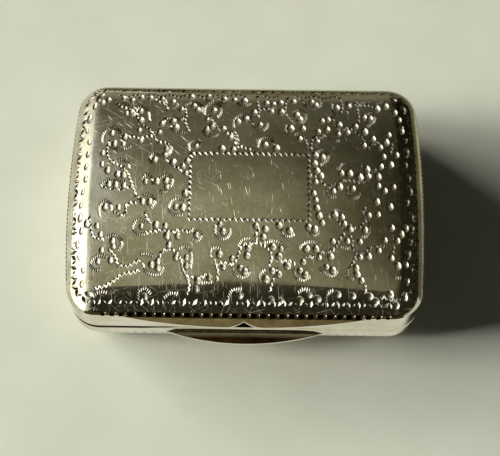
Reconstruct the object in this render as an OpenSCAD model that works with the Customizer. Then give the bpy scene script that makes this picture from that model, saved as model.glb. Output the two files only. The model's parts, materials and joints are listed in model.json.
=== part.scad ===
// Silver vinaigrette: a cushion-shaped scent box. The lid hinges at the back over a gilt collar, and
// under it a hinged, pierced grille holds a scented sponge down. Front is -Y, the hinge is at +Y.

/* [Case] */
// Width of the case, left to right
case_w = 35; // [31:0.5:44]
// Depth of the case, front to back
case_d = 24.5; // [21:0.5:32]
// Corner radius of the case, seen from above
corner_r = 3; // [2.8:0.1:4]
// Radius of the bowed left and right ends, seen from above
end_r = 100; // [80:5:200]
// Gauge of the silver sheet
sheet_t = 0.5; // [0.4:0.02:0.6]
// Open seam between the base and the lid
seam_gap = 0.15; // [0.1:0.01:0.24]

/* [Base] */
// Radius of the rounded edge under the base
base_shoulder_r = 2.6; // [1.8:0.1:2.7]
// Height of the upright band round the base
base_wall_h = 1.6; // [1.5:0.1:4]
// Width of the crescent lip at the front of the base
base_lip_w = 15.5; // [8:0.5:22]
// How far the base lip stands out
base_lip_out = 1.2; // [0.4:0.05:1.6]
// Thickness of the base lip
base_lip_t = 0.35; // [0.25:0.05:0.6]

/* [Lid] */
// Height of the upright band round the lid
lid_wall_h = 3.25; // [2:0.05:5]
// Width of the rounded shoulder of the lid
lid_shoulder_w = 2.6; // [1.8:0.1:2.7]
// Height of the rounded shoulder of the lid
lid_shoulder_h = 1.35; // [0.8:0.05:1.7]
// Rise of the crowned top above the shoulder
lid_crown_h = 1.7; // [0.6:0.1:2.4]
// Width of the bow-shaped lip at the front of the lid
lid_lip_w = 23.2; // [14:0.2:24]
// How far the lid lip stands out
lid_lip_out = 0.95; // [0.8:0.05:1.5]
// Thickness of the lid lip
lid_lip_t = 0.4; // [0.25:0.05:0.6]
// Distance from the top of the lid wall down to the lip
lid_lip_drop = 0.25; // [0.1:0.05:0.6]
// Width of the cusp in the middle of the lid lip
lid_cusp_w = 3.6; // [2:0.2:5]
// Depth of the cusp in the middle of the lid lip
lid_cusp_d = 0.62; // [0.3:0.02:0.7]
// Fullness of the lid lip's bow: 2 is a plain arc, more is squarer
lid_lip_bow = 2.3; // [2:0.1:4]

/* [Collar] */
// Thickness of the collar inside the base wall
bezel_t = 0.4; // [0.3:0.05:0.6]
// Height of the collar above the base wall
bezel_rise = 1.2; // [0.6:0.1:1.8]
// Running clearance between the collar and the lid wall
bezel_clearance = 0.1; // [0.08:0.01:0.15]

/* [Lid hinge] */
// Length of the hinge barrel
hinge_len = 23; // [15:0.5:24]
// Outer radius of a hinge knuckle
knuckle_r = 0.75; // [0.65:0.05:0.9]
// Radius of the hinge pin
hinge_pin_r = 0.35; // [0.25:0.05:0.4]
// Running clearance round the hinge pins
pin_clearance = 0.03; // [0.02:0.005:0.05]
// Clearance between the barrel and the grooves in the walls
groove_clearance = 0.05; // [0.04:0.01:0.08]
// Gap between neighbouring knuckles
knuckle_gap = 0.06; // [0.04:0.01:0.1]
// Length of the plug that closes each end of the barrel
plug_len = 0.8; // [0.5:0.1:1.2]

/* [Grille] */
// Thickness of the pierced plate
grille_t = 0.4; // [0.3:0.05:0.5]
// Gap between the plate and the collar
grille_gap = 0.25; // [0.15:0.05:0.4]
// Depth of the plate's face below the base wall's edge
grille_drop = 0.45; // [0.35:0.05:0.6]
// Outer radius of a grille hinge knuckle
grille_knuckle_r = 0.45; // [0.4:0.05:0.55]
// Length of a grille hinge knuckle
grille_knuckle_len = 3.6; // [2:0.2:6]
// Height of the foot that joins a grille ear to the collar
ear_foot_h = 0.6; // [0.4:0.05:0.7]
// Radius of the grille hinge pin
grille_pin_r = 0.2; // [0.15:0.02:0.25]
// Gap between the grille hinge and what it turns against
grille_hinge_gap = 0.1; // [0.06:0.01:0.15]
// Width of the ledge that the plate rests on
seat_w = 0.8; // [0.5:0.1:1.2]
// Thickness of the ledge
seat_t = 0.4; // [0.3:0.05:0.5]
// Rest gap between the plate and the ledge
seat_gap = 0.05; // [0.02:0.01:0.1]
// Width of the lifting tab
tab_w = 3.2; // [2:0.2:5]
// Height of the lifting tab
tab_h = 0.9; // [0.6:0.1:1.2]
// Thickness of the lifting tab
tab_t = 0.35; // [0.25:0.05:0.5]
// Distance of the tab from the plate's front edge
tab_inset = 0.5; // [0.3:0.1:1]

/* [Piercing] */
// Radius of the round holes in the border
bead_r = 0.4; // [0.25:0.05:0.5]
// Spacing of the round holes in the border
bead_pitch = 1.9; // [1.6:0.1:3]
// Distance of the border's holes from the plate's edge
bead_inset = 1.4; // [1.3:0.1:1.6]
// Radius of the round hole in the middle of a flower
eye_r = 0.45; // [0.3:0.05:0.5]
// Metal left between the round hole and the petals
petal_gap = 0.55; // [0.4:0.05:0.7]
// Length of a petal of the middle flower
petal_len = 2.7; // [2:0.1:2.9]
// Width of a petal of the middle flower
petal_w = 1; // [0.6:0.05:1.1]
// Length of a leaf of the side flowers
leaf_len = 2.4; // [1.6:0.1:2.6]
// Width of a leaf
leaf_w = 0.85; // [0.5:0.05:0.95]
// Length of a leaf of the sprigs
sprig_len = 1.6; // [1.2:0.1:1.9]
// Angle between the leaves of a sprig
sprig_fan = 55; // [45:1:60]
// Outer radius of a scroll
scroll_r = 1.6; // [1.3:0.1:1.7]
// Widest cut of a scroll
scroll_w = 0.75; // [0.5:0.05:0.8]
// How far a scroll's inner round lies off its outer one
scroll_shift = 0.55; // [0.45:0.05:0.7]
// Distance of the side flowers from the plate's side edge
flower_edge = 7; // [6.8:0.1:7.2]
// Distance of the inner scrolls to the side
scroll_x = 4.7; // [4.5:0.1:5]
// Distance of the inner scrolls up and down
scroll_y = 4.3; // [4.1:0.1:4.6]
// Distance of the outer scrolls from the plate's side edge
scroll_edge = 4; // [3.8:0.1:4.2]
// Distance of the outer scrolls up and down
outer_scroll_y = 5; // [4.8:0.1:5.2]
// Distance of the sprigs up and down
sprig_y = 5.5; // [5.3:0.1:5.7]

/* [Sponge] */
// Height of the sponge
sponge_h = 2.2; // [1.2:0.1:2.3]
// Gap between the sponge and the rounded edge of the floor
sponge_gap = 0.7; // [0.4:0.1:2]
// Corner radius of the sponge
sponge_r = 2; // [1:0.1:3]

/* [Hidden] */
$fn = 64;
// Overrun of a cutting shape past the face that it cuts
cut = 0.5;
// Steps of a full round with the wide radius of the ends
end_fn = 720;

// Heights, from the flat underside up
seam_z = base_shoulder_r + base_wall_h;
lid_z = seam_z + seam_gap;
edge_z = lid_z + lid_wall_h;
bezel_z = base_shoulder_r + seat_gap;
grille_z = seam_z - grille_drop - grille_t / 2;
seat_z = grille_z - grille_t / 2 - seat_gap;

// Plan sizes of the shells, as the distance in from the outside of the case
bezel_in = sheet_t + bezel_t;
grille_in = bezel_in + grille_gap;

// Case outline: the middles of its corners, and the turn at which a bowed end runs into a corner
corner_y = case_d / 2 - corner_r;
corner_turn = asin(corner_y / (end_r - corner_r));
end_mid_x = case_w / 2 - end_r;
corner_x = end_mid_x + (end_r - corner_r) * cos(corner_turn);

// Lid hinge: the barrel lies in grooves that reach the inner face of the back wall
groove_r = knuckle_r + groove_clearance;
hinge_y = case_d / 2 - sheet_t + groove_r;
hinge_z = seam_z + seam_gap / 2;
knuckle_count = 5;
knuckle_pitch = (hinge_len + knuckle_gap) / knuckle_count;
knuckle_len = knuckle_pitch - knuckle_gap;
hinge_pin_len = hinge_len - 2 * plug_len;

// Grille hinge: a knuckle on the plate between two on the collar
grille_hinge_y = case_d / 2 - bezel_in - grille_knuckle_r - grille_hinge_gap;
grille_back_y = grille_hinge_y - grille_knuckle_r - grille_hinge_gap;
grille_knuckle_pitch = grille_knuckle_len + grille_hinge_gap;
grille_pin_len = 3 * grille_knuckle_len + 2 * grille_hinge_gap;

// Grille plate
grille_w = case_w - 2 * grille_in;
grille_front_y = -case_d / 2 + grille_in;
grille_d = grille_back_y - grille_front_y;
grille_mid_y = (grille_back_y + grille_front_y) / 2;

// The raised plate stands in the round back corners of the collar, so its own back corners are cut
// back by a round that leaves the gap free up to the collar's top
collar_r = corner_r - bezel_in;
collar_w = case_w - 2 * bezel_in;
stand_in = max(0, grille_hinge_y + grille_t / 2 + grille_gap - corner_y);
stand_x = corner_x + sqrt(max(0, collar_r * collar_r - stand_in * stand_in)) - grille_gap;
side_cut = collar_w / 2 - stand_x;
length_cut = seam_z + bezel_rise + grille_gap - grille_z - (grille_hinge_y - grille_back_y);
grille_back_r = side_cut + length_cut + sqrt(2 * side_cut * length_cut);

// Pressed floor of the base: rings of its quarter-round edge
pan_rings = 8;

// Crowned lid: rings of the shoulder, then rings of the crown. The shoulder is an arc that ends level,
// and its tilt at the lid's edge follows from its width and height
lid_shoulder_tilt = 2 * atan(lid_shoulder_h / lid_shoulder_w);
lid_shoulder_r = lid_shoulder_w / sin(lid_shoulder_tilt);
shoulder_rings = 7;
crown_rings = 6;
corner_steps = 5;
side_steps = 6;

silver = "#b7b3a3";
dull_silver = "#8f8b7a";
gilt = "#c49a48";
steel = "#7c7d80";
sponge_tan = "#b9985c";

// Flat rectangle with round corners, centred
module rounded_rect(w, d, r) {
    square([w - 2 * r, d], center = true);
    square([w, d - 2 * r], center = true);
    for (x = [-1, 1], y = [-1, 1])
        translate([x * (w / 2 - r), y * (d / 2 - r)])
            circle(r);
}

// Outline of the case drawn in by a distance
module case_outline(inset) {
    square([2 * corner_x, case_d - 2 * inset], center = true);
    for (x = [-1, 1], y = [-1, 1])
        translate([x * corner_x, y * corner_y])
            circle(corner_r - inset);
    for (a = [0, 180])
        rotate(a)
            bowed_end(inset);
}

// Bowed right end of the outline: a slice of a wide round, up to the middles of the two corners
module bowed_end(inset) {
    near_y = -end_mid_x * tan(corner_turn);
    far_y = (case_w - end_mid_x) * tan(corner_turn);
    intersection() {
        translate([end_mid_x, 0])
            circle(end_r - inset, $fn = end_fn);
        polygon([[0, -near_y], [case_w, -far_y], [case_w, far_y], [0, near_y]]);
    }
}

// Upright band that follows the case, from one distance in to another
module band(from_in, to_in, z, h) {
    translate([0, 0, z])
        linear_extrude(h)
            difference() {
                case_outline(from_in);
                case_outline(to_in);
            }
}

// Bar along X, centred on an axis
module bar(r, len, x, y, z) {
    translate([x - len / 2, y, z])
        rotate([0, 90, 0])
            cylinder(r = r, h = len);
}

// Groove for the hinge barrel in the back walls
module hinge_groove() {
    bar(groove_r, hinge_len + 2 * knuckle_gap, 0, hinge_y, hinge_z);
}

// Bottom of the base, a pressed pan: a flat floor with a quarter-round edge all round
module base_plate() {
    outer = pan_skin(0);
    inner = pan_skin(sheet_t);
    start = len(outer);
    faces = concat(
        flipped(skin_faces(0, pan_rings)),
        skin_faces(start, pan_rings),
        ring_faces(0, start));
    color(silver)
        polyhedron(points = concat(outer, inner), faces = faces, convexity = 6);
}

// Band of the base, grooved at the back for the barrel
module base_wall() {
    color(silver)
        difference() {
            band(0, sheet_t, base_shoulder_r, base_wall_h);
            hinge_groove();
        }
}

// Crescent ledge at the front of the base, for the finger
module base_lip() {
    lip_r = (pow(base_lip_w / 2, 2) + pow(base_lip_out, 2)) / (2 * base_lip_out);
    color(dull_silver)
        translate([0, -case_d / 2, base_shoulder_r])
            linear_extrude(base_lip_t)
                intersection() {
                    translate([0, lip_r - base_lip_out])
                        circle(lip_r, $fn = 256);
                    translate([-base_lip_w, -2 * base_lip_out])
                        square([2 * base_lip_w, 2 * base_lip_out]);
                }
}

// Knuckle of the lid hinge, soldered into the groove of the base (side -1) or of the lid (side 1)
module knuckle(index, side) {
    x = (index - (knuckle_count - 1) / 2) * knuckle_pitch;
    foot_w = groove_r - (hinge_y - case_d / 2);
    foot_h = groove_r - seam_gap;
    foot_y = hinge_y - groove_r + foot_w / 2;
    foot_z = hinge_z + side * (groove_r + seam_gap) / 2;
    color(silver)
        difference() {
            union() {
                bar(knuckle_r, knuckle_len, x, hinge_y, hinge_z);
                intersection() {
                    bar(groove_r, knuckle_len, x, hinge_y, hinge_z);
                    translate([x, foot_y, foot_z])
                        cube([knuckle_len, foot_w, foot_h], center = true);
                }
            }
            bar(hinge_pin_r + pin_clearance, knuckle_len + 2 * cut, x, hinge_y, hinge_z);
        }
}

module base_knuckle_left() {
    knuckle(0, -1);
}

module base_knuckle_middle() {
    knuckle(2, -1);
}

module base_knuckle_right() {
    knuckle(4, -1);
}

module lid_knuckle_left() {
    knuckle(1, 1);
}

module lid_knuckle_right() {
    knuckle(3, 1);
}

// Pin through all the knuckles
module hinge_pin() {
    color(steel)
        bar(hinge_pin_r, hinge_pin_len, 0, hinge_y, hinge_z);
}

// Plug that closes one end of the barrel over the pin
module hinge_plug(side) {
    color(silver)
        bar(hinge_pin_r + pin_clearance, plug_len, side * (hinge_len - plug_len) / 2, hinge_y, hinge_z);
}

module hinge_plug_left() {
    hinge_plug(-1);
}

module hinge_plug_right() {
    hinge_plug(1);
}

// Gilt collar: soldered inside the base wall, it stands up into the lid and holds it by friction
module bezel() {
    color(gilt) {
        band(sheet_t, bezel_in, bezel_z, seam_z - bezel_z);
        band(sheet_t + bezel_clearance, bezel_in, bezel_z, seam_z + bezel_rise - bezel_z);
    }
}

// Ledge along the front and the sides of the collar that carries the grille
module grille_seat() {
    color(gilt)
        intersection() {
            band(bezel_in, bezel_in + seat_w, seat_z - seat_t, seat_t);
            translate([-case_w / 2, -case_d / 2, 0])
                cube([case_w, case_d / 2 + grille_back_y - corner_r, seam_z]);
        }
}

// Fixed knuckle of the grille hinge, soldered to the back of the collar
module grille_ear(side) {
    x = side * grille_knuckle_pitch;
    foot_d = case_d / 2 - bezel_in - grille_hinge_y;
    color(gilt)
        difference() {
            union() {
                bar(grille_knuckle_r, grille_knuckle_len, x, grille_hinge_y, grille_z);
                translate([x, grille_hinge_y + foot_d / 2, grille_z])
                    cube([grille_knuckle_len, foot_d, ear_foot_h], center = true);
            }
            bar(grille_pin_r + pin_clearance, grille_knuckle_len + 2 * cut, x, grille_hinge_y, grille_z);
        }
}

module grille_ear_left() {
    grille_ear(-1);
}

module grille_ear_right() {
    grille_ear(1);
}

// Pin of the grille hinge
module grille_pin() {
    color(steel)
        bar(grille_pin_r, grille_pin_len, 0, grille_hinge_y, grille_z);
}

// Sponge that holds the scent, on the floor of the base
module sponge() {
    in = base_shoulder_r + sponge_gap;
    sponge_w = 2 * (corner_x + corner_r - in);
    color(sponge_tan)
        translate([0, 0, sheet_t])
            linear_extrude(sponge_h)
                rounded_rect(sponge_w, case_d - 2 * in, sponge_r);
}

// Half sizes of the crown's outline
crown_a = case_w / 2 - lid_shoulder_w;
crown_b = case_d / 2 - lid_shoulder_w;

// Point of a quarter of the case outline drawn in by a distance: half an end, a corner, half the back
function quarter_point(i, inset) =
    let (r = corner_r - inset,
         bow = end_r - inset,
         t = corner_turn * i / side_steps,
         a = corner_turn + (90 - corner_turn) * (i - side_steps) / corner_steps)
    i < side_steps ? [end_mid_x + bow * cos(t), bow * sin(t)]
    : i <= side_steps + corner_steps ? [corner_x + r * cos(a), corner_y + r * sin(a)]
    : [corner_x * (1 - (i - side_steps - corner_steps) / side_steps), corner_y + r];

quarter_n = 2 * side_steps + corner_steps;
ring_n = 4 * quarter_n;

// Point of the whole outline, counted anticlockwise from +X
function ring_point(i, inset) =
    let (q = floor(i / quarter_n),
         k = i % quarter_n,
         p = quarter_point(q % 2 == 0 ? k : quarter_n - k, inset),
         sx = (q == 1 || q == 2) ? -1 : 1,
         sy = q > 1 ? -1 : 1)
    [sx * p.x, sy * p.y];

// Ring of the edge under the base where its face has turned down, with a thickness taken off inside
function pan_ring(turn, thick) =
    let (r = base_shoulder_r - thick,
         inset = base_shoulder_r - r * cos(turn))
    [for (i = [0 : ring_n - 1])
        let (p = ring_point(i, inset))
        [p.x, p.y, base_shoulder_r - r * sin(turn)]];

// All points of one skin of the base's floor, from its rim to its middle
function pan_skin(thick) = concat(
    [for (k = [0 : pan_rings]) each pan_ring(90 * k / pan_rings, thick)],
    [[0, 0, thick]]);

// Rise of the crown over a point: full in the middle, nothing along the lid's edge
function crown_rise(p) =
    let (u = p.x / (case_w / 2),
         v = p.y / (case_d / 2))
    lid_crown_h * (1 - u * u) * (1 - v * v);

// Ring of the lid's edge, drawn in by a thickness
function edge_ring(thick) =
    [for (i = [0 : ring_n - 1])
        let (p = ring_point(i, thick))
        [p.x, p.y, 0]];

// Ring of the shoulder where its face has a tilt, with a thickness taken off along its normal
function shoulder_ring(tilt, thick) =
    let (r = lid_shoulder_r - thick,
         inset = lid_shoulder_w - r * sin(tilt),
         z = lid_shoulder_h - lid_shoulder_r + r * cos(tilt))
    [for (i = [0 : ring_n - 1])
        let (p = ring_point(i, inset))
        [p.x, p.y, z + crown_rise(p)]];

// Ring of the crown at a share of the way out, more and more oval towards the middle
function crown_ring(share, thick) =
    [for (i = [0 : ring_n - 1])
        let (e = ring_point(i, lid_shoulder_w),
             t = atan2(e.y / crown_b, e.x / crown_a),
             oval = [crown_a * cos(t), crown_b * sin(t)],
             p = share * (oval * (1 - share) + e * share))
        [p.x, p.y, lid_shoulder_h - thick + crown_rise(p)]];

// All points of one skin of the lid top, from its edge to its middle
function lid_skin(thick) = concat(
    edge_ring(thick),
    [for (k = [1 : shoulder_rings])
        each shoulder_ring(lid_shoulder_tilt * (1 - k / shoulder_rings), thick)],
    [for (k = [1 : crown_rings]) each crown_ring(1 - k / (crown_rings + 1), thick)],
    [[0, 0, lid_shoulder_h + lid_crown_h - thick]]);

// Triangles between two rings of points that start at two places in the list
function ring_faces(a, b) =
    [for (i = [0 : ring_n - 1])
        let (j = (i + 1) % ring_n)
        each [[a + i, b + j, a + j], [a + i, b + i, b + j]]];

// Triangles of one skin with a number of steps from ring to ring, starting at a place in the list
function skin_faces(start, rings) =
    let (last = start + rings * ring_n,
         apex = last + ring_n)
    concat(
        [for (k = [0 : rings - 1]) each ring_faces(start + k * ring_n, start + (k + 1) * ring_n)],
        [for (i = [0 : ring_n - 1]) [last + i, apex, last + (i + 1) % ring_n]]);

function flipped(faces) = [for (f = faces) [f[0], f[2], f[1]]];

// Crowned top of the lid, a pressed sheet with a rounded shoulder
module lid_top() {
    outer = lid_skin(0);
    inner = lid_skin(sheet_t);
    start = len(outer);
    rings = shoulder_rings + crown_rings;
    faces = concat(
        skin_faces(0, rings),
        flipped(skin_faces(start, rings)),
        flipped(ring_faces(0, start)));
    color(dull_silver)
        translate([0, 0, edge_z])
            polyhedron(points = concat(outer, inner), faces = faces, convexity = 6);
}

// Band of the lid, grooved at the back for the barrel
module lid_wall() {
    color(silver)
        difference() {
            band(0, sheet_t, lid_z, lid_wall_h);
            hinge_groove();
        }
}

// How far the lid lip stands out at a place along the front: a bow with a cusp in the middle
function lip_reach(x) =
    let (u = abs(x) / (lid_lip_w / 2),
         c = max(0, 1 - abs(x) / (lid_cusp_w / 2)))
    lid_lip_out * (1 - pow(u, lid_lip_bow)) - lid_cusp_d * c * c;

// Bow-shaped lip at the front of the lid, for the thumb
module lid_lip() {
    lip_steps = 58;
    front = [for (i = [0 : lip_steps])
        let (x = lid_lip_w * (i / lip_steps - 0.5))
        [x, -lip_reach(x)]];
    color(dull_silver)
        translate([0, -case_d / 2, edge_z - lid_lip_drop - lid_lip_t])
            linear_extrude(lid_lip_t)
                polygon(front);
}

// Leaf-shaped hole, from its stem end outwards
module leaf_hole(len, w, from, angle) {
    r = (len * len + w * w) / (4 * w);
    rotate(angle)
        translate([from + len / 2, 0])
            intersection() {
                translate([0, r - w / 2])
                    circle(r);
                translate([0, w / 2 - r])
                    circle(r);
            }
}

// Round hole with leaf-shaped holes round it, fanned out by a step from a first direction
module spray(leaves, len, w, first, step) {
    circle(eye_r);
    for (i = [0 : leaves - 1])
        leaf_hole(len, w, eye_r + petal_gap, first + step * i);
}

// Crescent-shaped hole round a round one, open towards a direction
module scroll(angle) {
    circle(eye_r);
    rotate(angle)
        difference() {
            circle(scroll_r);
            translate([scroll_shift, 0])
                circle(scroll_r + scroll_shift - scroll_w);
        }
}

// Row of round holes along a straight stretch
module bead_row(len, y, angle) {
    n = floor(len / bead_pitch);
    rotate(angle)
        for (i = [0 : n])
            translate([len * (i / n - 0.5), y])
                circle(bead_r);
}

// Pierced pattern of the grille, about the middle of the plate
module piercing() {
    side_x = grille_w / 2;
    end_y = grille_d / 2;
    outer_x = side_x - scroll_edge;
    sprig_x = (scroll_x + outer_x) / 2;
    sprig_start = 90 - sprig_fan;
    spray(8, petal_len, petal_w, 0, 45);
    for (a = [0, 180])
        rotate(a) {
            bead_row(grille_w - 2 * grille_back_r, end_y - bead_inset, 0);
            bead_row(grille_d - 2 * grille_back_r, side_x - bead_inset, 90);
            translate([side_x - flower_edge, 0])
                spray(6, leaf_len, leaf_w, 0, 60);
            translate([0, sprig_y])
                spray(3, sprig_len, leaf_w, sprig_start, sprig_fan);
            for (m = [0, 1])
                mirror([0, m, 0]) {
                    translate([scroll_x, scroll_y])
                        scroll(60);
                    translate([outer_x, outer_scroll_y])
                        scroll(150);
                    translate([sprig_x, sprig_y])
                        spray(3, sprig_len, leaf_w, sprig_start, sprig_fan);
                }
        }
}

// Outline of the plate, about its middle: as the case at the front and the ends, rounder at the back
module grille_outline() {
    intersection() {
        translate([0, -grille_mid_y])
            case_outline(grille_in);
        translate([0, -grille_d / 2])
            rounded_rect(collar_w, 2 * grille_d, grille_back_r);
    }
}

// Pierced gilt plate over the sponge
module grille_plate() {
    color(gilt)
        translate([0, grille_mid_y, grille_z - grille_t / 2])
            linear_extrude(grille_t)
                difference() {
                    grille_outline();
                    piercing();
                }
}

// Knuckle on the back of the plate, between the two ears
module grille_knuckle() {
    web_d = grille_hinge_y - grille_back_y;
    color(gilt)
        difference() {
            union() {
                bar(grille_knuckle_r, grille_knuckle_len, 0, grille_hinge_y, grille_z);
                translate([0, grille_back_y + web_d / 2, grille_z])
                    cube([grille_knuckle_len, web_d, grille_t], center = true);
            }
            bar(grille_pin_r + pin_clearance, grille_knuckle_len + 2 * cut, 0, grille_hinge_y, grille_z);
        }
}

// Half-round tab on the plate's front edge, to lift the grille by
module grille_tab() {
    rise = tab_h / (tab_w / 2);
    tab_r = (tab_w / 2) * (1 / rise + rise) / 2;
    color(gilt)
        translate([0, grille_front_y + tab_inset + tab_t, grille_z + grille_t / 2])
            rotate([90, 0, 0])
                linear_extrude(tab_t)
                    intersection() {
                        translate([0, tab_h - tab_r])
                            circle(tab_r);
                        translate([-tab_w, 0])
                            square([2 * tab_w, tab_h]);
                    }
}

base_plate();
base_wall();
base_lip();
base_knuckle_left();
base_knuckle_middle();
base_knuckle_right();
hinge_pin();
hinge_plug_left();
hinge_plug_right();
bezel();
grille_seat();
grille_ear_left();
grille_ear_right();
grille_pin();
sponge();
lid_top();
lid_wall();
lid_lip();
lid_knuckle_left();
lid_knuckle_right();
grille_plate();
grille_knuckle();
grille_tab();
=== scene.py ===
# Silver vinaigrette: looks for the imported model. Sizes are in millimetres where no other unit is named.
import json
import math
import random

import bmesh
import bpy
from mathutils import Matrix, Vector, noise


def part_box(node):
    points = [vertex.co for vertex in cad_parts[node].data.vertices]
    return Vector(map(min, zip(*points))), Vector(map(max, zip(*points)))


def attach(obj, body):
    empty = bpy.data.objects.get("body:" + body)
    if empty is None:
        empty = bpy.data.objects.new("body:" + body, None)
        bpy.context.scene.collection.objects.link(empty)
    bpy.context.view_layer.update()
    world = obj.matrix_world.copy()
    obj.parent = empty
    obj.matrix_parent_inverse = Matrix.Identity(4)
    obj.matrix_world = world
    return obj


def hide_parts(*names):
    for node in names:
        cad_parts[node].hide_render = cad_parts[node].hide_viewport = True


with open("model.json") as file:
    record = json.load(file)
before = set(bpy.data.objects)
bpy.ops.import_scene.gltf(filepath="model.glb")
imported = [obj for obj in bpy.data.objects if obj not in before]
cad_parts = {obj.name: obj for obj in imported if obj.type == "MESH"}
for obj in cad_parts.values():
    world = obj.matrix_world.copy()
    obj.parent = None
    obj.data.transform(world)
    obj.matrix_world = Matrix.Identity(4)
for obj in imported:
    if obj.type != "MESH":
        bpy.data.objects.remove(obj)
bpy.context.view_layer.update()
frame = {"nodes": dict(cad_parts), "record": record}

MM = 0.001
chance = random.Random(7)


def box_mm(node):
    """Lowest and highest corners of a CAD node, in millimetres."""
    low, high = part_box(node)
    return low / MM, high / MM


# Sizes that the CAD model sets
lid_low, lid_high = box_mm("lid_top")
lid_wall_low, lid_wall_high = box_mm("lid_wall")
base_wall_low, base_wall_high = box_mm("base_wall")
sponge_low, sponge_high = box_mm("sponge")
pin_low, pin_high = box_mm("hinge_pin")
HALF_W = lid_high.x
HALF_D = lid_high.y
EDGE_Z = lid_low.z
FLOOR_R = base_wall_low.z
BARREL = (pin_low + pin_high) / 2
BARREL_LEFT = box_mm("base_knuckle_left")[0].x

# Sizes that the CAD model is drawn with: corners, sheet, and the groove for the hinge barrel with its play
CORNER_R = 3
SHEET = 0.5
GROOVE_R = 0.8
GROOVE_GAP = 0.06

# Plan of the case: bowed ends and straight front and back, joined by round corners
END_R = 100
END_MID_X = HALF_W - END_R
CORNER_Y = HALF_D - CORNER_R
CORNER_TURN = math.asin(CORNER_Y / (END_R - CORNER_R))
CORNER_X = END_MID_X + (END_R - CORNER_R) * math.cos(CORNER_TURN)

# Shape of the lid: a round shoulder that starts at a slant at the edge, under a crown
SHOULDER_W = 2.6
SHOULDER_H = 1.35
SHOULDER_TILT = 2 * math.atan(SHOULDER_H / SHOULDER_W)
SHOULDER_R = SHOULDER_W / math.sin(SHOULDER_TILT)
CROWN_H = lid_high.z - EDGE_Z - SHOULDER_H

# Steps of the case outline, of the lid's rings, of the floor's round edge, and between points of a route
LONG_STEPS = 64
SHORT_STEPS = 42
CORNER_STEPS = 12
SHOULDER_RINGS = 20
CROWN_RINGS = 34
INNER_RINGS = 6
FLOOR_STEPS = 14
ROUTE_STEPS = 12

# Bright-cut engraving in plan, in tenths of a millimetre: stems are wriggled lines, curls are combed across
# the line, pellets are dots
STEMS = [
    [(-123, 52), (-115, 56), (-106, 54), (-96, 56), (-90, 56)],
    [(-90, 56), (-96, 63), (-103, 69), (-108, 77), (-110, 86), (-114, 92)],
    [(-90, 56), (-86, 64), (-82, 71), (-81, 78)],
    [(-62, 90), (-60, 80), (-61, 72), (-57, 62)],
    [(-39, 80), (-34, 73), (-30, 67), (-27, 62), (-20, 59), (-12, 56), (-11, 46), (-6, 41)],
    [(-90, 54), (-87, 49), (-80, 48), (-74, 43)],
    [(-79, 30), (-73, 23), (-66, 19), (-61, 14), (-57, 12)],
    [(-137, 47), (-136, 36), (-131, 28), (-124, 24), (-116, 17), (-112, 8), (-109, 0)],
    [(-140, 2), (-130, -1), (-120, -2), (-110, 0), (-106, -8), (-102, -13)],
    [(10, 104), (11, 94), (12, 86), (11, 78)],
    [(13, 87), (22, 89), (30, 91)],
    [(40, 102), (38, 90), (39, 82), (43, 76), (47, 71)],
    [(-13, 62), (-9, 54), (-9, 47), (-3, 42), (6, 40)],
    [(56, 55), (59, 49), (60, 42)],
    [(63, 42), (64, 50), (66, 56), (71, 55), (77, 59)],
    [(86, 73), (90, 67), (95, 66), (100, 68), (107, 64), (113, 59), (117, 53)],
    [(100, 99), (99, 90), (101, 85)],
    [(110, 102), (110, 92), (111, 83), (111, 74)],
    [(144, 55), (143, 47), (141, 40)],
    [(129, 54), (122, 50), (119, 44)],
    [(63, 14), (69, 12), (74, 5), (80, 2)],
    [(80, 2), (88, 6), (98, 10), (108, 9), (117, 11), (122, 20), (127, 24), (134, 33)],
    [(-126, -25), (-120, -29), (-115, -26), (-115, -19), (-109, -16), (-104, -18)],
    [(-96, -27), (-94, -33), (-90, -38)],
    [(-94, -47), (-86, -46), (-78, -45), (-70, -47), (-62, -45), (-54, -47), (-49, -43)],
    [(-150, -30), (-148, -40), (-146, -48), (-142, -52), (-135, -53)],
    [(-129, -63), (-123, -70), (-120, -78), (-112, -80), (-105, -77), (-99, -74)],
    [(-140, -101), (-132, -99), (-125, -95), (-119, -90), (-113, -87), (-106, -86), (-100, -84)],
    [(-81, -71), (-78, -66), (-72, -64), (-65, -67), (-60, -74)],
    [(-60, -74), (-58, -83), (-54, -91), (-52, -99), (-54, -107)],
    [(-53, -90), (-45, -91), (-38, -89), (-32, -87)],
    [(-26, -93), (-25, -86), (-27, -79), (-29, -72)],
    [(-26, -78), (-19, -77), (-12, -78), (-7, -72), (-5, -65), (-2, -59), (5, -58)],
    [(5, -58), (11, -56), (10, -49), (14, -43)],
    [(11, -57), (18, -60), (24, -66), (25, -73), (23, -79)],
    [(26, -72), (34, -74), (42, -74), (48, -77)],
    [(31, -81), (28, -90), (25, -98), (24, -104)],
    [(58, -70), (65, -69), (73, -65), (80, -64), (86, -59), (89, -53), (93, -47)],
    [(93, -47), (95, -42), (90, -36), (86, -31)],
    [(101, -37), (108, -40), (112, -35), (115, -30), (113, -23), (116, -17)],
    [(99, -45), (102, -52), (102, -59), (105, -65), (103, -72), (100, -78)],
    [(106, -64), (113, -63), (120, -58), (128, -57), (135, -54)],
    [(103, -83), (108, -89), (113, -94), (114, -101)],
    [(141, -45), (142, -54), (141, -62)],
    [(124, -107), (131, -106), (140, -108), (148, -106), (154, -103), (158, -97)],
    [(-129, 106), (-120, 103), (-112, 106), (-104, 103), (-96, 107), (-87, 103), (-77, 106)],
    [(-77, 106), (-68, 103), (-58, 106), (-48, 104), (-39, 101), (-31, 106), (-22, 103)],
    [(-22, 103), (-12, 106), (-2, 104)],
    [(16, 106), (24, 103), (32, 106)],
    [(48, 106), (56, 103), (66, 106), (76, 103), (88, 106), (94, 101), (95, 92), (92, 84)],
    [(104, 97), (112, 96), (120, 96), (128, 92)],
    [(-94, 102), (-89, 97), (-82, 94), (-79, 87)],
    [(-132, 96), (-126, 91), (-120, 89), (-116, 86)],
]
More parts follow.
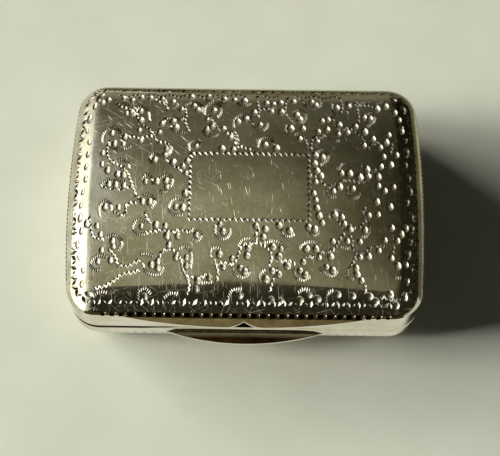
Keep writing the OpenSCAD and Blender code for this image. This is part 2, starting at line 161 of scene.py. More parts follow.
CURLS = [
    [(-143, 52), (-142, 60), (-136, 66), (-128, 65), (-124, 59)],
    [(-136, 52), (-134, 45), (-127, 42), (-119, 42), (-113, 45)],
    [(-102, 89), (-98, 84), (-97, 77), (-95, 72)],
    [(-116, 80), (-112, 81), (-108, 90), (-103, 90)],
    [(-79, 76), (-72, 77), (-66, 74), (-63, 76)],
    [(-75, 69), (-73, 62), (-66, 59), (-59, 60)],
    [(-62, 92), (-56, 96), (-50, 95), (-45, 91), (-45, 84)],
    [(-42, 82), (-41, 91), (-34, 95), (-27, 91), (-26, 83), (-29, 78)],
    [(-43, 61), (-39, 56), (-32, 55), (-27, 58)],
    [(-73, 42), (-76, 35), (-83, 33), (-90, 36), (-94, 31), (-92, 24)],
    [(-129, 28), (-122, 30), (-115, 26), (-114, 20)],
    [(-101, 9), (-97, 13), (-92, 11), (-89, 2)],
    [(-83, 9), (-77, 12), (-71, 8), (-72, 1), (-78, -6), (-84, -4)],
    [(-141, 4), (-136, 9), (-129, 9), (-123, 7), (-117, 7)],
    [(-56, 40), (-56, 47), (-50, 50), (-45, 46)],
    [(-13, 67), (-12, 75), (-6, 81), (1, 80), (5, 75)],
    [(5, 72), (8, 65), (14, 62), (19, 65), (21, 72)],
    [(11, 44), (13, 51), (19, 54), (25, 52), (27, 45)],
    [(46, 86), (53, 88), (58, 84), (58, 77), (54, 71)],
    [(39, 69), (39, 61), (45, 58), (51, 60)],
    [(78, 83), (84, 82), (86, 76)],
    [(81, 56), (86, 52), (92, 54)],
    [(119, 86), (124, 87), (127, 81), (123, 74), (118, 71)],
    [(112, 97), (118, 101), (125, 101)],
    [(90, 21), (93, 27), (99, 27), (103, 22)],
    [(98, 4), (98, -4), (103, -9), (109, -6), (109, 1)],
    [(78, -2), (81, -9), (87, -8)],
    [(69, 39), (75, 42), (80, 37), (78, 30), (72, 25)],
    [(-140, -28), (-141, -19), (-136, -13), (-130, -17), (-129, -24)],
    [(-98, -8), (-91, -9), (-87, -16), (-91, -23)],
    [(-96, -36), (-103, -34), (-107, -41), (-103, -48), (-96, -49)],
    [(-59, -15), (-66, -13), (-72, -17), (-73, -25), (-67, -30), (-60, -30)],
    [(-46, -45), (-41, -50), (-45, -56), (-51, -54)],
    [(-28, -41), (-28, -49), (-21, -54), (-15, -50), (-14, -42)],
    [(-133, -51), (-126, -49), (-119, -52), (-117, -59), (-121, -65)],
    [(-132, -70), (-140, -69), (-146, -75), (-143, -82), (-135, -83)],
    [(-98, -68), (-92, -68), (-86, -71)],
    [(-96, -78), (-93, -85), (-86, -88), (-79, -87), (-76, -80)],
    [(-62, -63), (-56, -61), (-51, -66), (-50, -74), (-51, -82)],
    [(-42, -96), (-34, -95), (-29, -95)],
    [(-32, -70), (-32, -64), (-27, -62), (-22, -64)],
    [(-11, -82), (-8, -88), (-1, -90), (5, -86), (4, -80)],
    [(-6, -60), (-2, -54), (5, -53)],
    [(34, -42), (36, -48), (42, -50), (48, -47)],
    [(60, -42), (63, -48), (69, -47), (70, -41)],
    [(19, -57), (26, -55), (33, -57), (39, -63)],
    [(19, -83), (14, -88), (15, -96)],
    [(46, -82), (49, -89), (55, -92), (62, -88)],
    [(52, -61), (57, -56), (65, -55), (72, -58)],
    [(72, -80), (76, -85), (83, -87), (88, -82)],
    [(80, -29), (84, -23), (90, -22), (96, -27)],
    [(91, -59), (97, -60), (101, -58)],
    [(118, -32), (119, -40), (115, -47), (110, -48)],
    [(97, -81), (98, -87), (103, -90)],
    [(139, -82), (143, -87), (149, -86)],
    [(-100, -110), (-99, -104), (-93, -101), (-88, -106)],
    [(-75, -109), (-69, -105), (-61, -106)],
    [(-142, -108), (-136, -104), (-129, -105)],
    [(-15, -108), (-11, -102), (-3, -101)],
    [(51, -103), (56, -100), (62, -101)],
    [(77, -109), (79, -103), (85, -100)],
    [(55, 100), (58, 93), (65, 90), (72, 93), (74, 99)],
    [(85, 96), (85, 89), (88, 83)],
    [(-127, 102), (-124, 96), (-118, 93), (-110, 94)],
    [(-82, 101), (-80, 92), (-73, 90), (-68, 95)],
    [(-29, 102), (-26, 95), (-19, 94)],
    [(-10, 102), (-9, 94), (-2, 92), (4, 96)],
    [(130, 99), (136, 102), (143, 99)],
    [(142, 92), (148, 86), (150, 78)],
    [(-44, 101), (-38, 97), (-33, 99)],
]
PELLETS = [
    (-133, 60), (-120, 55), (-130, 48), (-121, 47), (-104, 51), (-106, 62), (-115, 84), (-106, 85),
    (-105, 74), (-84, 69), (-73, 72), (-70, 65), (-86, 59), (-49, 86), (-53, 91), (-65, 86), (-33, 85),
    (-39, 74), (-34, 66), (-23, 63), (-16, 53), (-39, 62), (-78, 40), (-79, 34), (-89, 28), (-71, 25),
    (-61, 21), (-141, 38), (-141, 26), (-135, 19), (-125, 14), (-119, 13), (-133, 4), (-126, 3), (-118, 2),
    (-97, 5), (-86, 5), (-77, 5), (-76, -1), (-49, 43), (-145, 96), (-139, 99), (-115, 98), (-106, 102),
    (-74, 96), (-23, 100), (-3, 98), (68, 94), (-9, 72), (-1, 75), (13, 68), (19, 95), (7, 83), (24, 85),
    (33, 96), (34, 84), (18, 45), (49, 81), (52, 76), (43, 65), (55, 65), (52, 53), (69, 51), (70, 62),
    (79, 65), (90, 60), (74, 75), (80, 77), (91, 71), (99, 63), (107, 70), (116, 65), (124, 57), (115, 49),
    (131, 48), (137, 54), (140, 63), (116, 81), (122, 80), (138, 96), (153, 69), (147, 41), (134, 38),
    (141, 30), (131, 27), (128, 16), (117, 23), (118, 16), (128, 6), (134, 1), (143, 6), (92, 17),
    (100, 17), (110, 14), (90, 2), (84, -3), (103, 1), (74, 33), (67, 35), (72, 13), (67, 6), (68, 18),
    (-135, -20), (-122, -21), (-142, -39), (-152, -36), (-99, -16), (-92, -16), (-99, -41), (-85, -40),
    (-76, -41), (-74, -51), (-64, -51), (-67, -22), (-60, -23), (-46, -50), (-21, -47), (-126, -55),
    (-125, -60), (-138, -48), (-136, -64), (-139, -75), (-127, -74), (-88, -79), (-82, -82), (-82, -76),
    (-72, -60), (-65, -72), (-55, -72), (-55, -80), (-44, -94), (-33, -91), (-45, -101), (-20, -81),
    (-12, -73), (-24, -69), (-4, -82), (0, -85), (2, -70), (3, -63), (17, -52), (19, -44), (42, -45),
    (66, -43), (68, -21), (70, -29), (73, -36), (67, -13), (65, -6), (26, -61), (34, -63), (32, -70),
    (40, -79), (26, -84), (32, -87), (20, -92), (52, -83), (57, -87), (55, -75), (58, -62), (67, -62),
    (70, -70), (81, -69), (77, -79), (83, -82), (83, -54), (97, -53), (94, -36), (100, -41), (85, -27),
    (92, -29), (114, -41), (118, -26), (126, -11), (127, -24), (139, -15), (109, -53), (109, -68),
    (105, -79), (106, -85), (110, -91), (117, -67), (127, -61), (133, -50), (140, -37), (149, -43),
    (154, -36), (145, -50), (139, -68), (145, -75), (153, -73), (137, -103), (143, -112), (88, -104),
    (102, -105), (118, -105), (61, -105), (-4, -106), (-93, -108), (26, -109), (-124, 101), (-97, 101),
    (-85, 100), (-56, 103), (-39, 104), (-13, 99), (64, 98), (89, 92), (129, 92), (147, 89), (151, 81),
    (101, 94), (-149, 100), (46, 98), (26, 94), (-120, 82), (-24, -40), (10, -41), (32, -40), (60, -41),
    (-24, 40), (-13, 39), (29, 41), (-57, 26), (-58, 13), (-58, -8), (66, 26), (35, -110), (53, -109),
    (69, -108), (124, -109), (151, -105),
]
# Plain cartouche on the lid: middle and half size of the wriggled line round it
CARTOUCHE_MID = (0.35, 0.05)
CARTOUCHE_HALF = (5.75, 3.5)

# Graver strokes of each kind of line: length, width and depth; pitch along the line; slant to it in degrees;
# and how much of its turn off straight front to back a stroke keeps, because the hand turns only so far
STROKES = {
    "stem": ((0.76, 0.26, 0.112), 0.22, 48, 0.72),
    "curl": ((0.68, 0.22, 0.094), 0.22, 74, 0.6),
    "frame": ((0.84, 0.23, 0.1), 0.28, 50, 1),
}
PELLET_CUT = (0.86, 0.66, 0.2)
PELLET_HEADING = math.radians(100)
CLEAR_OF_PELLET = 0.34
# Play of handwork in size and heading, and the room that cutters of uneven rows keep, in their lengths
PLAY = 0.16
WIDE_ROOM = 1.3
# Cutters: how far the deepest line lies off the middle, as a share of the width, and the shares of the depth
# at which it leans; rise of a chisel's heel, length of its slanted end, and lean of the face that is the end
LEAN = 0.16
LEAN_AT = (0.3, 0.9)
CHISEL_HEEL = 0.3
CHISEL_END = 0.35
CHISEL_FACING = 0.3

# Front notches on the lid's edge: least size, at the ends of the row, and the run to gain a whole size
NOTCH_PITCH = 0.9
NOTCH_CUT = (0.78, 0.72, 0.3)
NOTCH_LEAST = 0.42
NOTCH_RUN = 6
# Worn notches round the rest of the edge, and those at the foot of the base's wall
WORN_PITCH = 0.45
WORN_CUT = (0.34, 0.42, 0.17)
FOOT_CUT = (0.36, 0.22, 0.06)
# Gouges above the notches
GOUGE_IN = 0.95
GOUGE_PITCH = 0.5
GOUGE_CUT = (0.86, 0.42, 0.18)
GOUGE_PLAY = 0.42
GOUGE_SLANT = math.radians(66)
# Brown strip along the front edge, a painted reflection, and the bright spots right of its notches and in
# from it
EDGE_STRIP = 0.3
SPOT_CUT = (0.36, 0.32, 0.12)
SPOT_ON = 0.38
SPOT_IN = 0.14
# Ovals inside the gouges at the two ends, which stray sideways
OVAL_IN = 1.6
OVAL_PITCH = 1.35
OVAL_CUT = (0.9, 0.55, 0.16)
OVAL_PLAY = 0.34
OVAL_STRAY = 0.3

# Sponge: play in its space, round of its edges, grain of its mesh, pitch and depth of its lumps, deepest
# dent, pitch, radius and depth of its pores, and the roundness of a pore's floor
SPONGE_PLAY = Vector((0.3, 0.3, 0.1))
SPONGE_EDGE = 0.7
SPONGE_GRAIN = 0.2
SPONGE_LUMPS = [(2.4, 0.16), (0.35, 0.05)]
SPONGE_DEEP = 0.75
SPONGE_PORES = [(1.7, 0.62, 0.55), (0.8, 0.3, 0.3)]
PORE_ROUND = 0.6

# Bevel of a band's edge, in shares of its depth and height. The first ring lies on the wall, short of the
# bevel, and keeps the wall's shading flat
BEVEL = [(0, 1.3), (0, 1), (0.06, 0.8), (0.9, 0.06), (1, 0)]
CRISP = 0.001
EASED = 0.1
# Wear on the base's rim in front: its start and run in Y, and the depth and height that it adds
WEAR_START = -7
WEAR_RUN = 4
WEAR_DEPTH = 0.15
WEAR_HEIGHT = 0.4
# Painted shade in the seam at the left of the front: its end in X, the lean of the faces that hold it, and
# the wear at its end, as a share, with the run from there to full wear
SEAM_END = -7.6
SEAM_LEAN = (0.2, 0.9)
SEAM_LEAST = 0.2
SEAM_RUN = 3
# Widths of edges rounded by file and polish
KNUCKLE_EDGE = 0.06
LIP_EDGE = 0.1
COLLAR_EDGE = 0.08
GRILLE_EDGE = 0.05
# Least upright share of the normal on a lip's top and on the floor, and a hair's breadth for tests of place
TOP_FACING = 0.9
FLOOR_FACING = 0.05
HAIR = 0.01

# Scuffs from wear: cut, then the middle and half size of each worn patch, and its count; headings and the
# play in them, in degrees; the shortest as a share of the longest
SCUFF_CUT = (1.6, 0.055, 0.022)
SCUFFS = [((-9, 6.5), (5, 3.2), 40), ((0.35, 0.05), (5, 2.8), 34), ((0, 0), (14, 9), 150)]
SCUFF_HEADINGS = (-38, 62, 96)
SCUFF_TURN = 24
SCUFF_SHORT = 0.2
# Finer scratches in the metal's finish: heading in degrees, width, length, and a share that makes them more
SCRATCHES = [(-34, 0.1, 5, 0), (58, 0.09, 3, 0), (96, 0.08, 2.4, 0.01), (12, 0.09, 4, 0)]

# Windows, in metres: distance, height of the middle, height of the opening, and height they aim at
WINDOW_FAR = 2
WINDOW_UP = 0.67
WINDOW_HIGH = 0.8
WINDOW_AIM = 0.005

# Painted reflection of the table, seen in the metal alone: axis, start and end of the change to dim, behind
# and to the right, and to a bright glow, in front and at the left; how far the bright part covers the board
DIM_BANDS = [("Y", 21, 27), ("X", 40, 48)]
BRIGHT_BANDS = [("Y", 0.5 - HALF_D, -0.5 - HALF_D), ("X", -2 - HALF_W, -6 - HALF_W)]
BRIGHT_SHARE = 0.8

# Camera: width and focal length of the photo in pixels, width of the sensor, place, and turns in degrees
PHOTO_W = 500
FOCAL = 1243
SENSOR_W = 36
CAMERA_AT = (1.13, -49.24, 119.46)
CAMERA_TILT = 22.41
CAMERA_ROLL = 0.85


# Modelling helpers
def deselect():
    """Leaves edit mode and deselects everything."""
    if bpy.context.object and bpy.context.object.mode != "OBJECT":
        bpy.ops.object.mode_set(mode="OBJECT")
    bpy.ops.object.select_all(action="DESELECT")


def pick(piece):
    """Makes a piece the only selected and active one."""
    deselect()
    piece.select_set(True)
    bpy.context.view_layer.objects.active = piece


def named(name):
    """Names the object that an operator has just added."""
    piece = bpy.context.object
    piece.name = name
    piece.data.name = name
    return piece


def put(name, data):
    """Puts a new object into the scene."""
    piece = bpy.data.objects.new(name, data)
    bpy.context.scene.collection.objects.link(piece)
    return piece


def place(point):
    """A point in millimetres, as metres."""
    return Vector(point) * MM


def finish_modifier(piece, kind, **settings):
    """Adds a modifier with its settings and applies it."""
    pick(piece)
    modifier = piece.modifiers.new(kind.lower(), kind)
    for name, value in settings.items():
        setattr(modifier, name, value)
    bpy.ops.object.modifier_apply(modifier=modifier.name)


def smooth(piece, angle):
    """Smooth shading, with edges sharper than an angle kept crisp."""
    pick(piece)
    bpy.ops.object.shade_smooth_by_angle(angle=math.radians(angle))


def carve(piece, cutter):
    """Cuts a piece with a cutter, whose material the cut faces keep."""
    finish_modifier(piece, "BOOLEAN", operation="DIFFERENCE", solver="MANIFOLD", material_mode="TRANSFER",
                    object=cutter)


def stain(piece, index, chosen):
    """Gives the faces that a test chooses another of the piece's materials."""
    for face in piece.data.polygons:
        if chosen(face):
            face.material_index = index


def outline(inset):
    """Points round the case drawn in by a distance, anticlockwise from the right-hand back corner."""
    r = CORNER_R - inset
    bow = END_R - inset
    quarter = math.radians(90)
    half = []
    for k in range(CORNER_STEPS + 1):
        turn = CORNER_TURN + (quarter - CORNER_TURN) * k / CORNER_STEPS
        half.append((CORNER_X + r * math.cos(turn), CORNER_Y + r * math.sin(turn)))
    for k in range(1, LONG_STEPS):
        half.append((CORNER_X * (1 - 2 * k / LONG_STEPS), CORNER_Y + r))
    for k in range(CORNER_STEPS + 1):
        turn = quarter + (quarter - CORNER_TURN) * k / CORNER_STEPS
        half.append((r * math.cos(turn) - CORNER_X, CORNER_Y + r * math.sin(turn)))
    for k in range(1, SHORT_STEPS):
        turn = CORNER_TURN * (1 - 2 * k / SHORT_STEPS)
        half.append((-END_MID_X - bow * math.cos(turn), bow * math.sin(turn)))
    return half + [(-x, -y) for x, y in half]


def level(inset, z):
    """Ring of the case outline at a height."""
    return [(x, y, z) for x, y in outline(inset)]


def loft(name, rings, closed=False, caps=False):
    """Skin over rings of points, all of one count: a circle is extruded from ring to ring.
    Closed joins the last ring to the first, and caps fills both ends."""
    deselect()
    bpy.ops.mesh.primitive_circle_add(vertices=len(rings[0]), radius=MM)
    piece = named(name)
    bpy.ops.object.mode_set(mode="EDIT")
    bpy.ops.mesh.select_mode(type="VERT")
    bpy.ops.mesh.select_all(action="SELECT")
    mesh = bmesh.from_edit_mesh(piece.data)
    spot = mesh.verts.layers.int.new("spot")
    mesh.verts.ensure_lookup_table()
    for i, point in enumerate(rings[0]):
        mesh.verts[i][spot] = i
        mesh.verts[i].co = place(point)
    for ring in rings[1:]:
        bpy.ops.mesh.extrude_region()
        mesh = bmesh.from_edit_mesh(piece.data)
        spot = mesh.verts.layers.int["spot"]
        for vertex in mesh.verts:
            if vertex.select:
                vertex.co = place(ring[vertex[spot]])
    bmesh.update_edit_mesh(piece.data)
    bpy.ops.mesh.select_all(action="DESELECT")
    bpy.ops.mesh.select_mode(type="EDGE")
    if closed:
        bpy.ops.mesh.select_non_manifold()
        bpy.ops.mesh.bridge_edge_loops()
    if caps:
        bpy.ops.mesh.select_non_manifold()
        bpy.ops.mesh.edge_face_add()
        bpy.ops.mesh.select_mode(type="FACE")
        bpy.ops.mesh.poke()
    bpy.ops.mesh.select_all(action="SELECT")
    bpy.ops.mesh.normals_make_consistent(inside=False)
    bpy.ops.object.mode_set(mode="OBJECT")
    piece.data.attributes.remove(piece.data.attributes["spot"])
    return piece


def edge_distance(x, y):
    """Distance in from the case outline, in plan."""
    x, y = abs(x), abs(y)
    if x > CORNER_X and y > CORNER_Y + (x - CORNER_X) * math.tan(CORNER_TURN):
        return CORNER_R - math.hypot(x - CORNER_X, y - CORNER_Y)
    return min(END_R - math.hypot(x - END_MID_X, y), HALF_D - y)


def crown(x, y):
    """Rise of the crown over a point of the plan."""
    return CROWN_H * (1 - (x / HALF_W) ** 2) * (1 - (y / HALF_D) ** 2)


def lid_height(x, y):
    """Height of the lid's outer face over a point of the plan."""
    s = max(0, SHOULDER_W - max(0, edge_distance(x, y))) / SHOULDER_R
    return EDGE_Z + SHOULDER_H - SHOULDER_R * (1 - math.sqrt(1 - s * s)) + crown(x, y)


def lid_spot(x, y, heading):
    """Frame on the lid's outer face: X along a heading in plan, Z out of the face."""
    step = 0.02
    slope_x = (lid_height(x + step, y) - lid_height(x - step, y)) / (2 * step)
    slope_y = (lid_height(x, y + step) - lid_height(x, y - step)) / (2 * step)
    out = Vector((-slope_x, -slope_y, 1)).normalized()
    along = Vector((math.cos(heading), math.sin(heading), 0))
    along = (along - out * along.dot(out)).normalized()
    turn = Matrix((along, out.cross(along), out)).transposed().to_4x4()
    return Matrix.Translation((x, y, lid_height(x, y))) @ turn


def from_tenths(points):
    """Points in millimetres, from tenths."""
    return [(x / 10, y / 10) for x, y in points]


def route(points, pitch):
    """Places at a steady pitch along a smooth line through a route's points, each with its heading."""
    ends = [points[0], *points, points[-1]]
    fine = []
    for a, b, c, d in zip(ends, ends[1:], ends[2:], ends[3:]):
        for k in range(ROUTE_STEPS):
            t = k / ROUTE_STEPS
            fine.append(tuple(
                0.5 * (2 * q + (r - p) * t + (2 * p - 5 * q + 4 * r - s) * t * t
                       + (3 * q - p - 3 * r + s) * t ** 3)
                for p, q, r, s in zip(a, b, c, d)))
    fine.append(points[-1])
    places = []
    walked = 0
    for (x0, y0), (x1, y1) in zip(fine, fine[1:]):
        length = math.hypot(x1 - x0, y1 - y0)
        while length and len(places) * pitch <= walked + length:
            t = (len(places) * pitch - walked) / length
            places.append((x0 + (x1 - x0) * t, y0 + (y1 - y0) * t, math.atan2(y1 - y0, x1 - x0)))
        walked += length
    return places


# Cutters: each is modelled once and copied to all its places
def strew(name, shape, places, materials):
    """One mesh of copies of a small shape, each put in place by its own matrix, in millimetres."""
    heap = bmesh.new()
    for matrix in places:
        start = len(heap.verts)
        heap.from_mesh(shape.data)
        heap.verts.ensure_lookup_table()
        bmesh.ops.transform(heap, matrix=matrix, verts=heap.verts[start:])
    bmesh.ops.scale(heap, vec=(MM, MM, MM), verts=heap.verts)
    mesh = bpy.data.meshes.new(name)
    heap.to_mesh(mesh)
    heap.free()
    for material in materials:
        mesh.materials.append(material)
    return put(name, mesh)


def open_blank(name, size):
    """Names and sizes the shape that an operator has just added, and opens it for editing."""
    shape = named(name)
    bpy.ops.transform.resize(value=size)
    bpy.ops.object.transform_apply()
    bpy.ops.object.mode_set(mode="EDIT")
    bpy.ops.mesh.select_mode(type="VERT")
    return shape, bmesh.from_edit_mesh(shape.data)


def shift(mesh, chosen, way):
    """Moves the points of an open mesh that a test chooses."""
    for vertex in mesh.verts:
        vertex.select_set(chosen(vertex.co))
    bpy.ops.transform.translate(value=way)


def rounded_cutter(size, segments, rings, dark_side):
    """Cutter with its rim on the face that it cuts and its deepest line off its middle, so that one side of
    the cut is a broad facet and the other one is steep. Faces that lean further than dark_side towards the
    steep side get the second material, a dark one that is partly tarnish and partly painted shade."""
    deselect()
    bpy.ops.mesh.primitive_uv_sphere_add(segments=segments, ring_count=rings, radius=1)
    length, width, depth = size
    shape, mesh = open_blank("rounded", (length / 2, width / 2, depth))
    for share in LEAN_AT:
        shift(mesh, lambda co: co.z < -share * depth, (0, LEAN * width / 2, 0))
    bpy.ops.object.mode_set(mode="OBJECT")
    stain(shape, 1, lambda face: face.normal.y > dark_side)
    return shape


def graver(size):
    """Cutter of a graver stroke: a lozenge with pointed ends and a V-shaped underside."""
    return rounded_cutter(size, segments=4, rings=2, dark_side=0.2)


def punch(size):
    """Cutter of a pellet: an oval bowl."""
    return rounded_cutter(size, segments=16, rings=8, dark_side=0.7)


def chisel(size):
    """Cutter of a border notch: a block whose floor runs down to a slanted end. The end alone is bright; the
    other faces take a dark material, partly tarnish and partly painted shade.
    """
    deselect()
    bpy.ops.mesh.primitive_cube_add(size=1)
    length, _, depth = size
    shape, mesh = open_blank("chisel", size)
    shift(mesh, lambda co: co.z > 0, (0, 0, depth))
    shift(mesh, lambda co: co.z < 0, (0, 0, -depth / 2))
    shift(mesh, lambda co: co.z < 0 and co.x < 0, (0, 0, depth * CHISEL_HEEL))
    shift(mesh, lambda co: co.z < 0 and co.x > 0, (-length * CHISEL_END, 0, 0))
    bpy.ops.object.mode_set(mode="OBJECT")
    stain(shape, 1, lambda face: face.normal.x <= CHISEL_FACING)
    return shape


def batches(places, reach):
    """Sorts places into a few lots, so that no two cutters of one lot can touch."""
    lots = []
    for matrix in places:
        for lot in lots:
            if all((matrix.translation - other.translation).length > reach for other in lot):
                lot.append(matrix)
                break
        else:
            lots.append([matrix])
    return lots


def engrave(piece, tool, cut, places, tones, room=1):
    """Cuts one kind of stroke into a piece with a tool, in a bright and a dark material. The room is how many
    lengths of the stroke keep two of them apart."""
    shape = tool(cut)
    for lot in batches(places, cut[0] * room * (1 + PLAY)):
        cutter = strew("strokes", shape, lot, tones)
        carve(piece, cutter)
        bpy.data.objects.remove(cutter)
    bpy.data.objects.remove(shape)


def hand_cut(x, y, heading, play=PLAY, kept=1):
    """Frame of one stroke on the lid, as uneven as handwork. Its broad facet faces left, and it keeps a
    share of its turn off straight front to back."""
    size = 1 + play * (2 * chance.random() - 1)
    heading += play * (2 * chance.random() - 1)
    upright = math.radians(90)
    heading = upright + (heading % math.pi - upright) * kept
    return lid_spot(x, y, heading) @ Matrix.Scale(size, 4)


def lid_engraving():
    """Places of the lid's strokes, by kind."""
    pellets = from_tenths(PELLETS)
    cuts = {kind: [] for kind in STROKES}
    cuts["pellet"] = [hand_cut(x, y, PELLET_HEADING) for x, y in pellets]
    (mid_x, mid_y), (half_x, half_y) = CARTOUCHE_MID, CARTOUCHE_HALF
    signs = ((-1, -1), (1, -1), (1, 1), (-1, 1))
    corners = [(mid_x + sx * half_x, mid_y + sy * half_y) for sx, sy in signs]
    lines = [("frame", ends) for ends in zip(corners, corners[1:] + corners[:1])]
    lines += [("stem", from_tenths(points)) for points in STEMS]
    lines += [("curl", from_tenths(points)) for points in CURLS]
    for kind, points in lines:
        _, pitch, slant, kept = STROKES[kind]
        for k, (x, y, heading) in enumerate(route(points, pitch)):
            if all(math.hypot(x - a, y - b) > CLEAR_OF_PELLET for a, b in pellets):
                turned = math.radians(slant if k % 2 or kind == "curl" else -slant)
                cuts[kind].append(hand_cut(x, y, heading + turned, kept=kept))
    return cuts


def scuffs():
    """Places of the scuffs, each with its own length."""
    places = []
    for (mid_x, mid_y), (half_x, half_y), count in SCUFFS:
        for _ in range(count):
            x = mid_x + half_x * (2 * chance.random() - 1)
            y = mid_y + half_y * (2 * chance.random() - 1)
            heading = chance.choice(SCUFF_HEADINGS) + SCUFF_TURN * (chance.random() - 0.5)
            length = SCUFF_SHORT + (1 - SCUFF_SHORT) * chance.random()
            spot = lid_spot(x, y, math.radians(heading) % math.pi)
            places.append(spot @ Matrix.Diagonal((length, 1, 1, 1)))
    return places


def border(inset, pitch, slant, play, ends_only=False, stray=0):
    """Places of a border row on the lid's shoulder, or at its ends only, slanted to either side by turns."""
    ring = outline(inset)
    places = []
    for k, (x, y, heading) in enumerate(route(ring + ring[:1], pitch)[:-1]):
        if not ends_only or abs(x) > CORNER_X:
            x += stray * (2 * chance.random() - 1)
            places.append(hand_cut(x, y, heading + (slant if k % 2 else -slant), play))
    return places


def edge_notches(z, pitch, in_front):
    """Places of the notches along the front of an edge, or along the rest of it: X along the edge, Z out of
    the wall. The front row gets smaller towards its ends and leaves the corners plain."""
    ring = outline(0)
    places = []
    for x, y, heading in route(ring + ring[:1], pitch)[:-1]:
        taper = min(1, NOTCH_LEAST + (CORNER_X - abs(x)) / NOTCH_RUN) if in_front else 1
        if (y < -CORNER_Y) == in_front and (abs(x) < CORNER_X or not in_front):
            along = Vector((math.cos(heading), math.sin(heading), 0))
            out = Vector((along.y, -along.x, 0))
            turn = Matrix((along, out.cross(along), out)).transposed().to_4x4()
            places.append(Matrix.Translation((x, y, z)) @ turn @ Matrix.Diagonal((taper, taper, 1, 1)))
    return places


def notch_spots():
    """Places of the bright spots at the right of the front notches, just above the edge."""
    spots = [notch @ Vector((SPOT_ON, 0, 0)) for notch in edge_notches(EDGE_Z, NOTCH_PITCH, True)]
    return [hand_cut(spot.x, spot.y + SPOT_IN, PELLET_HEADING) for spot in spots]


def notch_edge(piece, z, front_cut, worn_cut):
    """Cuts the notches along an edge of the case: deep and black in front, small and rubbed elsewhere.
    Their dark faces are partly tarnish and partly painted shade: black in front, where shade falls, grey
    elsewhere.
    """
    # Painted shade: the front notches get the black material and the rest the grey one
    engrave(piece, chisel, front_cut, edge_notches(z, NOTCH_PITCH, True), (cut_silver, black_tarnish_and_shade))
    engrave(piece, chisel, worn_cut, edge_notches(z, WORN_PITCH, False), (cut_silver, grey_tarnish_and_shade))


# Materials
def linear(code):
    """Linear colour of an sRGB hex value."""
    parts = [int(code[i:i + 2], 16) / 255 for i in (1, 3, 5)]
    return [c / 12.92 if c <= 0.04045 else ((c + 0.055) / 1.055) ** 2.4 for c in parts] + [1]


def add(tree, kind, inputs=None, stops=(), **settings):
    """Adds a node, sets its properties, and sets its inputs or links them, to a node by its first output. The
    stops of a colour ramp are pairs of a place and a grey or a colour."""
    made = tree.nodes.new("ShaderNode" + kind)
    for name, value in settings.items():
        setattr(made, name, value)
    for name, value in (inputs or {}).items():
        if isinstance(value, bpy.types.Node):
            value = value.outputs[0]
        if isinstance(value, bpy.types.NodeSocket):
            tree.links.new(value, made.inputs[name])
        else:
            made.inputs[name].default_value = value
    for i, (at, colour) in enumerate(stops):
        element = made.color_ramp.elements[i] if i < 2 else made.color_ramp.elements.new(at)
        element.position = at
        element.color = linear(colour) if isinstance(colour, str) else (colour, colour, colour, 1)
    return made


def new_material(name):
    """A material without nodes, and its tree."""
    material = bpy.data.materials.new(name)
    material.use_nodes = True
    material.node_tree.nodes.clear()
    return material, material.node_tree


def scratches(tree, coords, turn, width, length, amount):
    """Fine lines in one direction: noise drawn out along it. Drawn wider than real hairlines, to show."""
    turned = add(tree, "Mapping", {"Vector": coords, "Rotation": (0, 0, math.radians(turn)),
                                   "Scale": (length * MM, width * MM, 4 * MM)}, vector_type="TEXTURE")
    lines = add(tree, "TexNoise", {"Vector": turned, "Scale": 1, "Detail": 2, "Roughness": 0.6})
    return add(tree, "ValToRGB", {"Fac": lines}, [(0.66 - amount, 0), (0.72 - amount, 1)])


def metal(name, bright, dull, rough, blotch, bump, fade=None):
    """Worn precious metal: blotches of a duller colour, uneven polish and fine scratches. A fade is the span
    in Y over which it turns to another colour."""
    material, tree = new_material(name)
    coords = add(tree, "TexCoord").outputs["Object"]
    cloud = add(tree, "TexNoise", {"Vector": coords, "Scale": 1 / (blotch * MM), "Detail": 5,
                                   "Roughness": 0.62})
    colour = add(tree, "ValToRGB", {"Fac": cloud}, [(0.34, dull), (0.62, bright)])
    if fade:
        start, end, tone = fade
        depth = add(tree, "SeparateXYZ", {"Vector": coords}).outputs["Y"]
        share = add(tree, "MapRange", {"Value": depth, "From Min": start * MM, "From Max": end * MM})
        colour = add(tree, "Mix", {"Factor": share, "A": colour, "B": linear(tone)},
                     data_type="RGBA").outputs["Result"]
    polish = add(tree, "TexNoise", {"Vector": coords, "Scale": 1 / (0.7 * MM), "Detail": 4, "Roughness": 0.7})
    roughness = add(tree, "MapRange", {"Value": polish, "From Min": 0.3, "From Max": 0.7,
                                       "To Min": rough[0], "To Max": rough[1]})
    lines = 0
    for scratch in SCRATCHES:
        more = scratches(tree, coords, *scratch)
        lines = add(tree, "Math", {0: lines, 1: more}, operation="MAXIMUM")
    dents = add(tree, "TexNoise", {"Vector": coords, "Scale": 1 / (2.2 * MM), "Detail": 2})
    relief = add(tree, "Math", {0: lines, 1: -0.35, 2: dents}, operation="MULTIPLY_ADD")
    bumped = add(tree, "Bump", {"Height": relief, "Strength": bump, "Distance": 0.02 * MM})
    shader = add(tree, "BsdfPrincipled", {"Base Color": colour, "Metallic": 1, "Roughness": roughness,
                                          "Normal": bumped})
    add(tree, "OutputMaterial", {"Surface": shader})
    return material


# Sterling silver, hand-polished and long worn: grey with a warm cast, softly blurred reflections
silver = metal("sterling_silver_worn", "#d2cebb", "#b7b298", (0.05, 0.14), 3.5, 0.6)
# Top of the thumb lip: a painted reflection in brown-yellow, for the olive room that its up-facing top
# mirrors
lid_lip_painted_reflection = metal("sterling_silver_lid_lip_painted_reflection", "#b3a683", "#8f7c55", (0.14, 0.28), 1.5, 0.3)
# Silver fresh from the graver: brighter than the worn face round it, with a soft glint
cut_silver = metal("sterling_silver_bright_cut", "#e6e2d4", "#a39c86", (0.12, 0.24), 0.5, 0.1)
# Silver dulled by the punch and by wear in the pellets and the left-hand ovals: a soft grey sheen
punched_silver = metal("sterling_silver_punched", "#dfdacb", "#a59e89", (0.2, 0.34), 0.5, 0.1)
